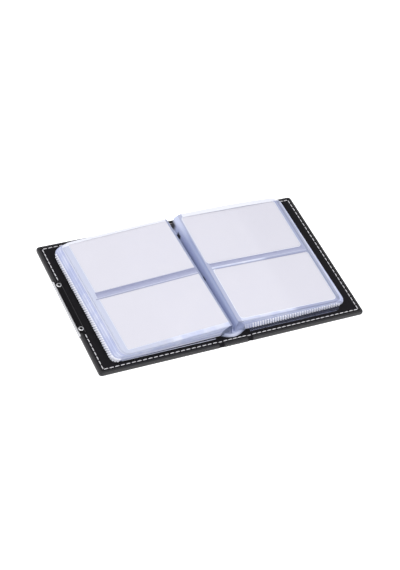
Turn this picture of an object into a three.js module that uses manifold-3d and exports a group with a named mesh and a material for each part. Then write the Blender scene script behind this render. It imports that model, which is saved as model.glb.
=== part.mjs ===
// Business card album, lying open: a stitched leatherette cover in three panels, a polished
// edge plate riveted to the front cover, and a block of clear two-pocket leaves.
// Millimetres. X runs across the spread (front cover at -X, back cover at +X), Y from the
// foot of the page to its head, Z up from the table. The origin is under the spine's middle.

import * as THREE from 'three';
import { mergeVertices } from 'three/addons/utils/BufferGeometryUtils.js';
import Module from 'manifold-3d';

const wasm = await Module();
wasm.setup();

// The blank cards and the pockets that hold them
const cardWidth = 90;
const cardHeight = 55;
const cardThickness = 0.32;
const cardGap = 7.8;
const pocketInnerWeld = 1.2;
const pocketOuterWeld = 2.2;
const pocketSidePlay = 1.65;
const pocketFootPlay = 0.8;
const pocketMouth = 2.4;
const mouthGap = 4;

// Leaves: film round the pockets, and the sheet under each stack
const leafHeadMargin = 3.3;
const leafCornerRadius = 6.5;
const leafInnerRadius = 1;
const leafThickness = 0.5;
const leafFilm = 0.1;
const topLeafThickness = 0.72;
const topLeafFilm = 0.14;
const innerPitch = 0.82;
const outerPitch = 0.64;
const blockBase = 0.5;
const blockShift = 1.7;
const fanBend = 2.8;
const endSheetThickness = 0.3;
const endSheetForeMargin = 6.3;
const endSheetHeadMargin = 0.8;
const endSheetInnerGap = 0.3;

// Cover, whose panels stand out past the leaves
const coverForeMargin = 16.1;
const coverHeadMargin = 8.15;
const coverThickness = 4;
const coverCornerRadius = 3;
const coverEdgeRounding = 1.3;
const skinThickness = 1.1;
const boardThickness = 2;
const boardCornerRadius = 1.2;
const rimWidth = 2.4;
const creaseCentre = 13.2;
const creaseHalfWidth = 2.4;
const creaseFilmThickness = 2;
const creaseLift = 0.5;
const creaseArch = 0.3;
const creaseFloorHalfWidth = 0.9;
const creaseShoulderDrop = 0.6;
const creaseNotch = 0.3;
const seat = 0.1;

// Edge plate and its rivets
const plateProud = 0.5;
const plateHalfLength = 30.2;
const plateCentreY = 1.1;
const plateThickness = 0.7;
const plateWidth = 15;
const plateLipWidth = 1.7;
const plateLipHeight = 2.7;
const plateCornerRadius = 2;
const plateOuterRounding = 0.8;
const plateInnerRounding = 0.4;
const rivetInset = 3;
const rivetEndMargin = 6.1;
const rivetShankRadius = 1.15;
const rivetRingRadius = 2.2;
const rivetRingHeight = 0.55;
const rivetRingFlank = 0.25;
const rivetBore = 0.8;
const rivetBoreDepth = 2.6;
const rivetHoleClearance = 0.3;
const backingThickness = 0.35;
const backingEndMargin = 2.3;
const backingWidth = 6.4;
const backingInset = 0.4;
const backingCornerRadius = 1.2;

// Root of the block and its gutter films
const rootHalfWidth = 8.4;
const rootSheetThickness = 0.3;
const ribHalfWidth = 1.2;
const ribHeight = 1.5;
const ribChamfer = 0.2;
const weldHalfWidth = 1.9;
const weldHeight = 1.1;
const filmThickness = 0.3;
const filmRootLow = 0.5;
const filmRootHigh = 0.9;
const turningFilmRoot = 1.3;
const filmLean = 0.1;
const filmCrown = 0.06;
const filmSteps = 8;
const filmHeadMargin = 0.4;
const filmFootMargin = 0.2;
const tongueDepth = 4.2;
const tongueHalfWidth = 9.5;
const tongueSteps = 14;

// Each half of the block as the album lies open. A leaf's yaw and shift are given for the
// lowest leaf and for the top one. A card's drift is its share of the pocket's side play.
const halves = {
  left: {
    side: -1,
    leaves: 13,
    topInset: 3.9,
    fan: 7.2,
    yaw: [1, 1.8].map(THREE.MathUtils.degToRad),
    shift: [1.1, 1.2],
    cardRise: 0.9,
    cardDrift: { upper: -0.8, lower: -0.8 },
    cardCornerRadius: 0.8,
  },
  right: {
    side: 1,
    leaves: 11,
    topInset: 6,
    fan: 5.2,
    yaw: [1.3, -0.5].map(THREE.MathUtils.degToRad),
    shift: [2.1, 4.4],
    cardRise: -0.4,
    cardDrift: { upper: -0.55, lower: 0.55 },
    cardCornerRadius: 2.8,
  },
};

// Lengths, heights and edges that follow from the sizes above
const pocketWidth = cardWidth + 2 * pocketSidePlay;
const leafLength = pocketInnerWeld + pocketWidth + pocketOuterWeld;
const leafHalfHeight = cardGap / 2 + cardHeight + leafHeadMargin;
const halfSpread = rootHalfWidth + leafLength + coverForeMargin;
const coverHalfHeight = leafHalfHeight + coverHeadMargin;
const liningThickness = coverThickness - skinThickness - boardThickness;
const boardTop = skinThickness + boardThickness;
const spineHalfWidth = creaseCentre - creaseHalfWidth;
const coverStart = creaseCentre + creaseHalfWidth;
const frontReach = halfSpread - plateProud;
const blockBottom = coverThickness + blockBase;
const rivetX = rivetInset - frontReach;
const rivetHalfPitch = plateHalfLength - rivetEndMargin;
const beyond = 2 * (halfSpread + coverHalfHeight);

const finish = {
  leatherette: { color: 0x1f1d20, roughness: 0.55, metalness: 0 },
  lining: { color: 0x232125, roughness: 0.8, metalness: 0 },
  board: { color: 0x8c8779, roughness: 0.9, metalness: 0 },
  steel: { color: 0xe4e4e8, roughness: 0.16, metalness: 1 },
  film: { color: 0xc4cdea, roughness: 0.18, metalness: 0 },
  root: { color: 0xaab4dc, roughness: 0.22, metalness: 0 },
  card: { color: 0xeeedf4, roughness: 0.6, metalness: 0 },
};

const album = new THREE.Group();

function addPiece(parent, name, geometry, surface) {
  const piece = new THREE.Mesh(geometry, new THREE.MeshStandardMaterial(finish[surface]));
  piece.name = name;
  parent.add(piece);
  return piece;
}

function toSolid(geometry) {
  const bare = geometry.clone();
  bare.deleteAttribute('normal');
  bare.deleteAttribute('uv');
  const merged = mergeVertices(bare);
  const mesh = new wasm.Mesh({
    numProp: 3,
    vertProperties: new Float32Array(merged.attributes.position.array),
    triVerts: new Uint32Array(merged.index.array),
  });
  return new wasm.Manifold(mesh);
}

function toGeometry(solid) {
  const mesh = solid.getMesh();
  const geometry = new THREE.BufferGeometry();
  geometry.setAttribute('position', new THREE.BufferAttribute(mesh.vertProperties, 3));
  geometry.setIndex(new THREE.BufferAttribute(mesh.triVerts, 1));
  return geometry;
}

function box(x0, x1, y0, y1, z0, z1) {
  const geometry = new THREE.BoxGeometry(Math.abs(x1 - x0), Math.abs(y1 - y0), Math.abs(z1 - z0));
  return geometry.translate((x0 + x1) / 2, (y0 + y1) / 2, (z0 + z1) / 2);
}

// A rectangle from x = inner to x = outer, whose outer and inner corners have their own radii.
function panelOutline(inner, outer, halfHeight, outerRadius, innerRadius) {
  const side = Math.sign(outer - inner);
  const outline = new THREE.Shape();
  outline.moveTo(inner + side * innerRadius, -halfHeight);
  outline.lineTo(outer - side * outerRadius, -halfHeight);
  outline.quadraticCurveTo(outer, -halfHeight, outer, outerRadius - halfHeight);
  outline.lineTo(outer, halfHeight - outerRadius);
  outline.quadraticCurveTo(outer, halfHeight, outer - side * outerRadius, halfHeight);
  outline.lineTo(inner + side * innerRadius, halfHeight);
  if (innerRadius > 0) {
    outline.quadraticCurveTo(inner, halfHeight, inner, halfHeight - innerRadius);
    outline.lineTo(inner, innerRadius - halfHeight);
    outline.quadraticCurveTo(inner, -halfHeight, inner + side * innerRadius, -halfHeight);
  } else {
    outline.lineTo(inner, -halfHeight);
  }
  return outline;
}

function slab(outline, bottom, top, curveSegments = 5) {
  const options = { depth: top - bottom, bevelEnabled: false, curveSegments };
  return new THREE.ExtrudeGeometry(outline, options).translate(0, 0, bottom);
}

// A slab whose edges are rounded all the way round, inside the outline given.
function paddedSlab(outline, bottom, top, rounding) {
  const options = {
    depth: top - bottom - 2 * rounding,
    bevelThickness: rounding,
    bevelSize: rounding,
    bevelOffset: -rounding,
    bevelSegments: 3,
    curveSegments: 4,
  };
  return new THREE.ExtrudeGeometry(outline, options).translate(0, 0, bottom + rounding);
}

// A section drawn in X and Z, drawn out along Y.
function alongY(section, foot, head) {
  const options = { depth: head - foot, bevelEnabled: false };
  return new THREE.ExtrudeGeometry(section, options).rotateX(Math.PI / 2).translate(0, head, 0);
}

// A section drawn in Y and Z, drawn out along X.
function alongX(section, from, to) {
  const options = { depth: to - from, bevelEnabled: false, curveSegments: 4 };
  const geometry = new THREE.ExtrudeGeometry(section, options);
  return geometry.rotateX(Math.PI / 2).rotateZ(Math.PI / 2).translate(from, 0, 0);
}

function polygon(points) {
  return new THREE.Shape(points.map(([x, y]) => new THREE.Vector2(x, y)));
}

function rivetHole(y) {
  const radius = rivetShankRadius + rivetHoleClearance;
  const hole = new THREE.CylinderGeometry(radius, radius, beyond, 16);
  return toSolid(hole.rotateX(Math.PI / 2).translate(rivetX, y, 0));
}

const rivetPlaces = {
  upper_rivet: plateCentreY + rivetHalfPitch,
  lower_rivet: plateCentreY - rivetHalfPitch,
};

function drillForRivets(solid) {
  return Object.values(rivetPlaces).reduce((rest, y) => rest.subtract(rivetHole(y)), solid);
}

// The skin is one tray: a floor under the board and a rim turned up round its edge.
function coverSkin(side, reach) {
  const full = panelOutline(0, side * reach, coverHalfHeight, coverCornerRadius, 0);
  const padded = toSolid(paddedSlab(full, 0, coverThickness, coverEdgeRounding));
  const start = side * coverStart;
  const spineSide = toSolid(
    box(start, start - side * beyond, -beyond, beyond, -beyond, beyond),
  );
  const trayOutline = panelOutline(
    0, side * (reach - rimWidth), coverHalfHeight - rimWidth, coverCornerRadius / 2, 0,
  );
  const tray = toSolid(slab(trayOutline, skinThickness, beyond));
  return padded.subtract(spineSide).subtract(tray);
}

// The front skin is notched for the plate's lip and relieved under its flat.
function notchForPlate(skin) {
  const foot = plateCentreY - plateHalfLength - seat;
  const head = plateCentreY + plateHalfLength + seat;
  const lipInside = plateLipWidth + seat - halfSpread;
  const plateInside = plateWidth + seat - halfSpread;
  const lipNotch = box(-beyond, lipInside, foot, head, -beyond, beyond);
  const relief = box(-beyond, plateInside, foot, head, -beyond, plateThickness);
  return skin.subtract(toSolid(lipNotch)).subtract(toSolid(relief));
}

function coverBoard(side, reach) {
  const inner = side * (coverStart + liningThickness + seat);
  const outer = side * (reach - rimWidth - seat);
  const halfHeight = coverHalfHeight - rimWidth - seat;
  const outline = panelOutline(inner, outer, halfHeight, boardCornerRadius, 0);
  return toSolid(slab(outline, skinThickness, boardTop));
}

// The lining covers the board and turns down over its edge at the crease.
function coverLining(side, reach) {
  const outer = side * (reach - rimWidth - seat);
  const halfHeight = coverHalfHeight - rimWidth - seat;
  const outline = panelOutline(side * coverStart, outer, halfHeight, boardCornerRadius, 0);
  const sheet = toSolid(slab(outline, boardTop, coverThickness));
  const turnIn = box(
    side * coverStart, side * (coverStart + liningThickness),
    -halfHeight, halfHeight, skinThickness, boardTop + seat,
  );
  return sheet.add(toSolid(turnIn));
}

function spineSkin() {
  const outer = coverHalfHeight;
  const inner = coverHalfHeight - rimWidth;
  const round = coverEdgeRounding;
  const section = new THREE.Shape();
  section.moveTo(-inner, skinThickness);
  section.lineTo(-inner, coverThickness);
  section.lineTo(round - outer, coverThickness);
  section.quadraticCurveTo(-outer, coverThickness, -outer, coverThickness - round);
  section.lineTo(-outer, round);
  section.quadraticCurveTo(-outer, 0, round - outer, 0);
  section.lineTo(outer - round, 0);
  section.quadraticCurveTo(outer, 0, outer, round);
  section.lineTo(outer, coverThickness - round);
  section.quadraticCurveTo(outer, coverThickness, outer - round, coverThickness);
  section.lineTo(inner, coverThickness);
  section.lineTo(inner, skinThickness);
  return alongX(section, -spineHalfWidth, spineHalfWidth);
}

function spineBoard() {
  const halfWidth = spineHalfWidth - liningThickness - seat;
  const halfHeight = coverHalfHeight - rimWidth - seat;
  return box(-halfWidth, halfWidth, -halfHeight, halfHeight, skinThickness, boardTop);
}

// The spine's lining is a shallow channel over its board.
function spineLining() {
  const outer = spineHalfWidth;
  const inner = spineHalfWidth - liningThickness;
  const halfHeight = coverHalfHeight - rimWidth - seat;
  const section = polygon([
    [-outer, skinThickness], [-outer, coverThickness], [outer, coverThickness],
    [outer, skinThickness], [inner, skinThickness], [inner, boardTop],
    [-inner, boardTop], [-inner, skinThickness],
  ]);
  return alongY(section, -halfHeight, halfHeight);
}

// Between the boards, skin and lining are pressed together into a flexible groove.
function creaseFilm(side) {
  const near = side * (spineHalfWidth + seat);
  const far = side * (coverStart - seat);
  const middle = side * creaseCentre;
  const shoulder = coverThickness - creaseShoulderDrop;
  const floor = creaseLift + creaseFilmThickness;
  const section = polygon([
    [near, creaseLift], [middle, creaseLift + creaseArch], [far, creaseLift], [far, shoulder],
    [middle + side * creaseFloorHalfWidth, floor], [middle - side * creaseFloorHalfWidth, floor],
    [near, shoulder],
  ]);
  const reach = coverHalfHeight - creaseNotch;
  return alongY(section, -reach, reach);
}

function buildCover() {
  const frontSkin = drillForRivets(notchForPlate(coverSkin(-1, frontReach)));
  addPiece(album, 'front_cover_skin', toGeometry(frontSkin), 'leatherette');
  addPiece(album, 'front_cover_board', toGeometry(drillForRivets(coverBoard(-1, frontReach))), 'board');
  const frontLining = drillForRivets(coverLining(-1, frontReach));
  addPiece(album, 'front_cover_lining', toGeometry(frontLining), 'lining');
  addPiece(album, 'back_cover_skin', toGeometry(coverSkin(1, halfSpread)), 'leatherette');
  addPiece(album, 'back_cover_board', toGeometry(coverBoard(1, halfSpread)), 'board');
  addPiece(album, 'back_cover_lining', toGeometry(coverLining(1, halfSpread)), 'lining');
  addPiece(album, 'spine_skin', spineSkin(), 'leatherette');
  addPiece(album, 'spine_board', spineBoard(), 'board');
  addPiece(album, 'spine_lining', spineLining(), 'lining');
  addPiece(album, 'front_crease', creaseFilm(-1), 'leatherette');
  addPiece(album, 'back_crease', creaseFilm(1), 'leatherette');
}

// The plate is a flat under the cover with a rounded lip up its edge.
function edgePlate() {
  const outer = -halfSpread;
  const lip = outer + plateLipWidth;
  const section = new THREE.Shape();
  section.moveTo(outer + plateOuterRounding, 0);
  section.lineTo(outer + plateWidth, 0);
  section.lineTo(outer + plateWidth, plateThickness - seat);
  section.lineTo(lip, plateThickness - seat);
  section.lineTo(lip, plateLipHeight - plateInnerRounding);
  section.quadraticCurveTo(lip, plateLipHeight, lip - plateInnerRounding, plateLipHeight);
  section.lineTo(outer + plateOuterRounding, plateLipHeight);
  section.quadraticCurveTo(outer, plateLipHeight, outer, plateLipHeight - plateOuterRounding);
  section.lineTo(outer, plateOuterRounding);
  section.quadraticCurveTo(outer, 0, outer + plateOuterRounding, 0);
  const options = { depth: 2 * plateHalfLength, bevelEnabled: false, curveSegments: 4 };
  const bar = new THREE.ExtrudeGeometry(section, options).rotateX(Math.PI / 2);
  bar.translate(0, plateHalfLength, 0);
  const outline = panelOutline(
    -beyond, outer + plateWidth, plateHalfLength, plateCornerRadius, 0,
  );
  const trimmed = toSolid(bar).intersect(toSolid(slab(outline, -beyond, beyond)));
  return toGeometry(drillForRivets(trimmed.translate([0, plateCentreY, 0])));
}

function plateBacking() {
  const outer = backingInset - frontReach;
  const outline = panelOutline(
    outer + backingWidth, outer, plateHalfLength - backingEndMargin,
    backingCornerRadius, backingCornerRadius,
  );
  const strip = slab(outline, coverThickness, coverThickness + backingThickness, 3);
  return toGeometry(drillForRivets(toSolid(strip.translate(0, plateCentreY, 0))));
}

// A semi-tubular rivet: a solid shank, hollow at the end that is rolled over into a ring.
function rivet() {
  const ringBottom = coverThickness + backingThickness + seat / 2;
  const ringTop = ringBottom + rivetRingHeight;
  const crown = (rivetBore + rivetRingRadius) / 2;
  const softening = rivetRingFlank / 2;
  const profile = [
    [0, 0], [rivetShankRadius, 0], [rivetShankRadius, ringBottom],
    [rivetRingRadius - softening, ringBottom], [rivetRingRadius, ringBottom + rivetRingFlank],
    [rivetRingRadius - rivetRingFlank, ringTop - softening], [crown, ringTop],
    [rivetBore + softening, ringTop - rivetRingFlank], [rivetBore, ringTop - 2 * rivetRingFlank],
    [rivetBore, ringTop - rivetBoreDepth], [0, ringTop - rivetBoreDepth],
  ];
  const points = profile.map(([radius, height]) => new THREE.Vector2(radius, height));
  return new THREE.LatheGeometry(points, 20).rotateX(Math.PI / 2);
}

function buildEdgePlate() {
  addPiece(album, 'edge_plate', edgePlate(), 'steel');
  addPiece(album, 'edge_plate_backing', plateBacking(), 'leatherette');
  for (const [name, y] of Object.entries(rivetPlaces)) {
    addPiece(album, name, rivet(), 'steel').position.set(rivetX, y, 0);
  }
}

// Where leaf number `index` (0 is the lowest) of a half has its inner edge, and how it lies.
function leafPlace(half, index) {
  const share = index / (half.leaves - 1);
  const drop = (innerPitch - outerPitch) * index;
  return {
    inset: half.topInset + half.fan * (1 - share ** fanBend),
    height: blockBottom + innerPitch * index,
    tilt: Math.atan(drop / leafLength),
    yaw: THREE.MathUtils.lerp(...half.yaw, share),
    shift: THREE.MathUtils.lerp(...half.shift, share),
  };
}

// One leaf: film welded round an upper pocket, open at the head, and a lower pocket whose
// mouth opens below the weld between them. Local x runs outward from the leaf's inner edge.
function leafSolid(side, thickness, film) {
  const outline = panelOutline(0, side * leafLength, leafHalfHeight, leafCornerRadius, leafInnerRadius);
  const sheet = toSolid(slab(outline, 0, thickness));
  const near = side * pocketInnerWeld;
  const far = side * (pocketInnerWeld + pocketWidth);
  const lowerFoot = -cardGap / 2 - cardHeight - pocketFootPlay;
  const lowerMouth = -cardGap / 2 + pocketMouth;
  const upperFoot = cardGap / 2 - pocketFootPlay;
  const lower = box(near, far, lowerFoot, lowerMouth + mouthGap, film, thickness - film);
  const mouth = box(near, far, lowerMouth, lowerMouth + mouthGap, film, beyond);
  const upper = box(near, far, upperFoot, beyond, film, thickness - film);
  return sheet.subtract(toSolid(lower)).subtract(toSolid(mouth)).subtract(toSolid(upper));
}

function cardGeometry(radius) {
  const outline = panelOutline(-cardWidth / 2, cardWidth / 2, cardHeight / 2, radius, radius);
  return slab(outline, 0, cardThickness, 3);
}

function placeLeaf(half, index) {
  const place = leafPlace(half, index);
  const leaf = new THREE.Group();
  leaf.position.set(half.side * place.inset, place.shift, place.height);
  leaf.rotation.set(0, half.side * place.tilt, place.yaw);
  album.add(leaf);
  return leaf;
}

function buildLeaves(name, half) {
  for (let index = 0; index < half.leaves; index += 1) {
    const isTop = index === half.leaves - 1;
    const thickness = isTop ? topLeafThickness : leafThickness;
    const film = isTop ? topLeafFilm : leafFilm;
    const leaf = placeLeaf(half, index);
    const number = String(index + 1).padStart(2, '0');
    addPiece(leaf, `${name}_leaf_${number}`, toGeometry(leafSolid(half.side, thickness, film)), 'film');
    if (isTop) {
      for (const [row, sign] of [['upper', 1], ['lower', -1]]) {
        const card = addPiece(leaf, `${name}_${row}_card`, cardGeometry(half.cardCornerRadius), 'card');
        const drift = half.cardDrift[row] * pocketSidePlay;
        card.position.set(
          half.side * (pocketInnerWeld + pocketWidth / 2 + drift),
          sign * (cardGap + cardHeight) / 2 + half.cardRise,
          (topLeafThickness - cardThickness) / 2,
        );
      }
    }
  }
}

// The plan of the block's root: square at the head, with a rounded tongue at the foot.
function rootPlan() {
  const foot = blockShift + filmFootMargin - leafHalfHeight;
  const head = blockShift + leafHalfHeight + filmHeadMargin;
  const plan = [[-beyond, head], [-beyond, foot]];
  for (let step = 0; step <= tongueSteps; step += 1) {
    const angle = Math.PI * (1 - step / tongueSteps);
    plan.push([tongueHalfWidth * Math.cos(angle), foot - tongueDepth * Math.sin(angle)]);
  }
  plan.push([beyond, foot], [beyond, head]);
  return toSolid(slab(polygon(plan), -beyond, beyond));
}

// The films are welded to a rib that stands on a sheet laid along the spine.
function pageRoot() {
  const low = coverThickness + seat / 2;
  const sheetTop = low + rootSheetThickness;
  const weldTop = coverThickness + weldHeight;
  const ribTop = coverThickness + ribHeight;
  const section = polygon([
    [-rootHalfWidth, low], [rootHalfWidth, low], [rootHalfWidth, sheetTop],
    [weldHalfWidth, sheetTop], [weldHalfWidth, weldTop], [ribHalfWidth, weldTop],
    [ribHalfWidth, ribTop - ribChamfer], [ribHalfWidth - ribChamfer, ribTop],
    [ribChamfer - ribHalfWidth, ribTop], [-ribHalfWidth, ribTop - ribChamfer],
    [-ribHalfWidth, weldTop],
    [-weldHalfWidth, weldTop], [-weldHalfWidth, sheetTop], [-rootHalfWidth, sheetTop],
  ]);
  return toGeometry(toSolid(alongY(section, -beyond, beyond)).intersect(rootPlan()));
}

// One film, rising from the rib and bending over to its leaf's inner edge. `weld` is its
// height on the rib above the cover. It skews along its length, as its leaf does.
function gutterFilm(half, index, weld) {
  const place = leafPlace(half, index);
  const isTop = index === half.leaves - 1;
  const thickness = isTop ? topLeafThickness : leafThickness;
  const root = isTop ? ribHalfWidth : weldHalfWidth;
  const start = new THREE.Vector2(half.side * (root + seat), coverThickness + weld);
  const end = new THREE.Vector2(half.side * (place.inset - seat), place.height + thickness / 2);
  const bend = new THREE.Vector2(
    start.x + filmLean * (end.x - start.x), end.y - filmCrown * (end.y - start.y),
  );
  const curve = new THREE.QuadraticBezierCurve(start, bend, end);
  const above = [];
  const below = [];
  for (let step = 0; step <= filmSteps; step += 1) {
    const point = curve.getPoint(step / filmSteps);
    const tangent = curve.getTangent(step / filmSteps);
    const isEnd = step === 0 || step === filmSteps;
    const normal = isEnd ? new THREE.Vector2(0, 1) : new THREE.Vector2(-tangent.y, tangent.x);
    normal.multiplyScalar(Math.sign(normal.y) * filmThickness / 2);
    above.push([point.x + normal.x, point.y + normal.y]);
    below.unshift([point.x - normal.x, point.y - normal.y]);
  }
  const reach = leafHalfHeight + 2 * tongueDepth;
  const film = alongY(polygon([...above, ...below]), -reach, reach);
  const span = end.x - start.x;
  const position = film.attributes.position;
  for (let i = 0; i < position.count; i += 1) {
    const share = (position.getX(i) - start.x) / span;
    position.setX(i, position.getX(i) - share * Math.tan(place.yaw) * position.getY(i));
  }
  return toSolid(film);
}

// The films' ends follow the stack as it shifts, leaf by leaf, along the spine.
function endedFilms(half, films) {
  const geometry = toGeometry(films.intersect(rootPlan()));
  const slant = (half.shift[1] - blockShift) / (innerPitch * (half.leaves - 1));
  const position = geometry.attributes.position;
  for (let i = 0; i < position.count; i += 1) {
    position.setY(i, position.getY(i) + slant * (position.getZ(i) - blockBottom));
  }
  return geometry;
}

function buildRoot() {
  addPiece(album, 'page_root', pageRoot(), 'root');
  for (const [name, half] of Object.entries(halves)) {
    const fixed = half.leaves - 1;
    let fan = null;
    for (let index = 0; index < fixed; index += 1) {
      const weld = filmRootLow + (filmRootHigh - filmRootLow) * (index / (fixed - 1));
      const film = gutterFilm(half, index, weld);
      fan = fan ? fan.add(film) : film;
    }
    addPiece(album, `${name}_gutter_films`, endedFilms(half, fan), 'root');
    const turning = gutterFilm(half, fixed, turningFilmRoot);
    addPiece(album, `${name}_turning_film`, endedFilms(half, turning), 'film');
  }
}

function buildEndSheets() {
  const bottom = coverThickness + seat / 2;
  for (const [name, side] of [['front', -1], ['back', 1]]) {
    const outline = panelOutline(
      side * (coverStart + endSheetInnerGap), side * (leafLength + endSheetForeMargin),
      leafHalfHeight + endSheetHeadMargin, leafCornerRadius, 0,
    );
    const sheet = slab(outline, bottom, bottom + endSheetThickness);
    addPiece(album, `${name}_end_sheet`, sheet, 'film');
  }
}

buildCover();
buildEdgePlate();
buildEndSheets();
buildRoot();
for (const [name, half] of Object.entries(halves)) {
  buildLeaves(name, half);
}

export default album;
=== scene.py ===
import math
import random

import bmesh
import bpy
from mathutils import Matrix, Vector


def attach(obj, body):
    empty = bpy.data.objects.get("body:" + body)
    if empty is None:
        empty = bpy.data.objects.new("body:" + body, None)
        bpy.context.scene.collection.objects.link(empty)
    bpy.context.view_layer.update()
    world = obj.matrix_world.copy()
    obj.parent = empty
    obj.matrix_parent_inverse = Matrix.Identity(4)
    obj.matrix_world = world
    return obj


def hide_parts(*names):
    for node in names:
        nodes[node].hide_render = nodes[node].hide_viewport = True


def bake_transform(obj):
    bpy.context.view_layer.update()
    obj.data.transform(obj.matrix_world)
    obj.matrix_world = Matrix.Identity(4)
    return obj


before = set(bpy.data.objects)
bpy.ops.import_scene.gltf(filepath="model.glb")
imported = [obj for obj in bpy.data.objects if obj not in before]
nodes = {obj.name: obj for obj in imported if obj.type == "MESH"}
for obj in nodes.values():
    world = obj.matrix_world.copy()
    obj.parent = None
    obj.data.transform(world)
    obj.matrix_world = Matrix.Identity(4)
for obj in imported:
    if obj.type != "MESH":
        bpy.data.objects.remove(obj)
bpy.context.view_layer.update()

mm = 0.001
coverTop = 4.0


# Shader values as ordinary expressions

class Reading:
    def __init__(self, bench, socket):
        self.bench = bench
        self.socket = socket

    def joined(self, operation, other, reflected=False):
        pair = (other, self) if reflected else (self, other)
        return self.bench.node("Math", {"operation": operation}, dict(enumerate(pair)))

    def __add__(self, other):
        return self.joined("ADD", other)

    def __radd__(self, other):
        return self.joined("ADD", other, True)

    def __sub__(self, other):
        return self.joined("SUBTRACT", other)

    def __rsub__(self, other):
        return self.joined("SUBTRACT", other, True)

    def __mul__(self, other):
        return self.joined("MULTIPLY", other)

    def __rmul__(self, other):
        return self.joined("MULTIPLY", other, True)

    def __pow__(self, other):
        return self.joined("POWER", other)

    def __abs__(self):
        return self.joined("ABSOLUTE", 0)

    def larger(self, other):
        return self.joined("MAXIMUM", other)


class Workbench:
    def __init__(self, tree):
        self.tree = tree

    def node(self, kind, settings, sockets, output=0):
        made = self.tree.nodes.new("ShaderNode" + kind)
        for key, value in settings.items():
            setattr(made, key, value)
        for key, value in sockets.items():
            if isinstance(value, Reading):
                self.tree.links.new(value.socket, made.inputs[key])
            else:
                made.inputs[key].default_value = value
        if isinstance(output, (list, tuple)):
            return [Reading(self, made.outputs[one]) for one in output]
        return Reading(self, made.outputs[output])


class Finish(Workbench):
    def __init__(self, name, flat):
        self.material = bpy.data.materials.new(name)
        self.material.use_nodes = True
        super().__init__(self.material.node_tree)
        self.shader = self.tree.nodes["Principled BSDF"]
        for socket, value in flat.items():
            self.shader.inputs[socket].default_value = value

    def place(self):
        return self.node("TexCoord", {}, {}, "Object")

    def axes(self, where):
        return self.node("SeparateXYZ", {}, {0: where}, ("X", "Y", "Z"))

    def noise(self, where, scale, detail=3.0, roughness=0.5):
        sockets = {"Vector": where, "Scale": scale, "Detail": detail, "Roughness": roughness}
        return self.node("TexNoise", {}, sockets, "Fac")

    def stretched(self, where, scale):
        return self.node("VectorMath", {"operation": "MULTIPLY"}, {0: where, 1: scale})

    def step(self, value, low, high, bottom=0.0, top=1.0):
        sockets = {"Value": value, "From Min": low, "From Max": high, "To Min": bottom, "To Max": top}
        return self.node("MapRange", {"interpolation_type": "SMOOTHSTEP"}, sockets)

    # The same with both ends in millimetres
    def between(self, value, ends, bottom=0.0, top=1.0):
        return self.step(value, ends[0] * mm, ends[1] * mm, bottom, top)

    def mixed(self, share, first, second):
        sockets = {0: share, 6: first, 7: second}
        return self.node("Mix", {"data_type": "RGBA"}, sockets, 2)

    def bumped(self, height, strength, distance):
        sockets = {"Height": height, "Strength": strength, "Distance": distance}
        return self.node("Bump", {}, sockets, "Normal")

    def feed(self, socket, reading):
        self.tree.links.new(reading.socket, self.shader.inputs[socket])


# Mesh helpers; all points are in millimetres until the piece is made

def makePiece(name, points, faces, finish, smooth=True, sharpAngle=50):
    mesh = bpy.data.meshes.new(name)
    mesh.from_pydata([Vector(p) * mm for p in points], [], faces)
    shape = bmesh.new()
    shape.from_mesh(mesh)
    bmesh.ops.recalc_face_normals(shape, faces=shape.faces)
    shape.to_mesh(mesh)
    shape.free()
    for face in mesh.polygons:
        face.use_smooth = smooth
    mesh.set_sharp_from_angle(angle=math.radians(sharpAngle))
    mesh.materials.append(finish.material)
    piece = bpy.data.objects.new(name, mesh)
    bpy.context.scene.collection.objects.link(piece)
    return piece


# Two grids of points, joined round their rims into one closed sheet
def shell(upper, lower, points, faces):
    columns = len(upper[0])
    first = len(points)
    size = len(upper) * columns
    for grid in (upper, lower):
        for row in grid:
            points.extend(row)
    for r in range(len(upper) - 1):
        for c in range(columns - 1):
            a = first + r * columns + c
            faces.append((a, a + 1, a + columns + 1, a + columns))
            b = a + size
            faces.append((b, b + columns, b + columns + 1, b + 1))
    last = first + size - columns
    rim = [first + c for c in range(columns)]
    rim += [first + r * columns + columns - 1 for r in range(1, len(upper))]
    rim += [last + c for c in range(columns - 2, -1, -1)]
    rim += [first + r * columns for r in range(len(upper) - 2, 0, -1)]
    for a, b in zip(rim, rim[1:] + rim[:1]):
        faces.append((b, a, a + size, b + size))


# A middle surface given as a grid, thickened to both sides
def sheet(grid, thickness, points, faces):
    rows, columns = len(grid), len(grid[0])
    upper, lower = [], []
    for r in range(rows):
        over, under = [], []
        for c in range(columns):
            along = Vector(grid[min(r + 1, rows - 1)][c]) - Vector(grid[max(r - 1, 0)][c])
            across = Vector(grid[r][min(c + 1, columns - 1)]) - Vector(grid[r][max(c - 1, 0)])
            normal = across.cross(along).normalized() * thickness / 2
            over.append(Vector(grid[r][c]) + normal)
            under.append(Vector(grid[r][c]) - normal)
        upper.append(over)
        lower.append(under)
    shell(upper, lower, points, faces)


# A closed tube with its own width and height at each point of its path
def cordage(path, widths, heights, sides, points, faces):
    first = len(points)
    count = len(path)
    for i, centre in enumerate(path):
        ahead = Vector(path[min(i + 1, count - 1)]) - Vector(path[max(i - 1, 0)])
        side = ahead.cross(Vector((0, 0, 1))).normalized()
        up = side.cross(ahead).normalized()
        for k in range(sides):
            angle = 2 * math.pi * k / sides
            offset = side * math.cos(angle) * widths[i] / 2 + up * math.sin(angle) * heights[i] / 2
            points.append(Vector(centre) + offset)
    for i in range(count - 1):
        for k in range(sides):
            a = first + i * sides + k
            b = first + i * sides + (k + 1) % sides
            faces.append((a, b, b + sides, a + sides))
    faces.append(tuple(first + k for k in reversed(range(sides))))
    faces.append(tuple(first + (count - 1) * sides + k for k in range(sides)))


def eased(x):
    x = min(1.0, max(0.0, x))
    return x * x * (3 - 2 * x)


# Leatherette, lining and board

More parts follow.
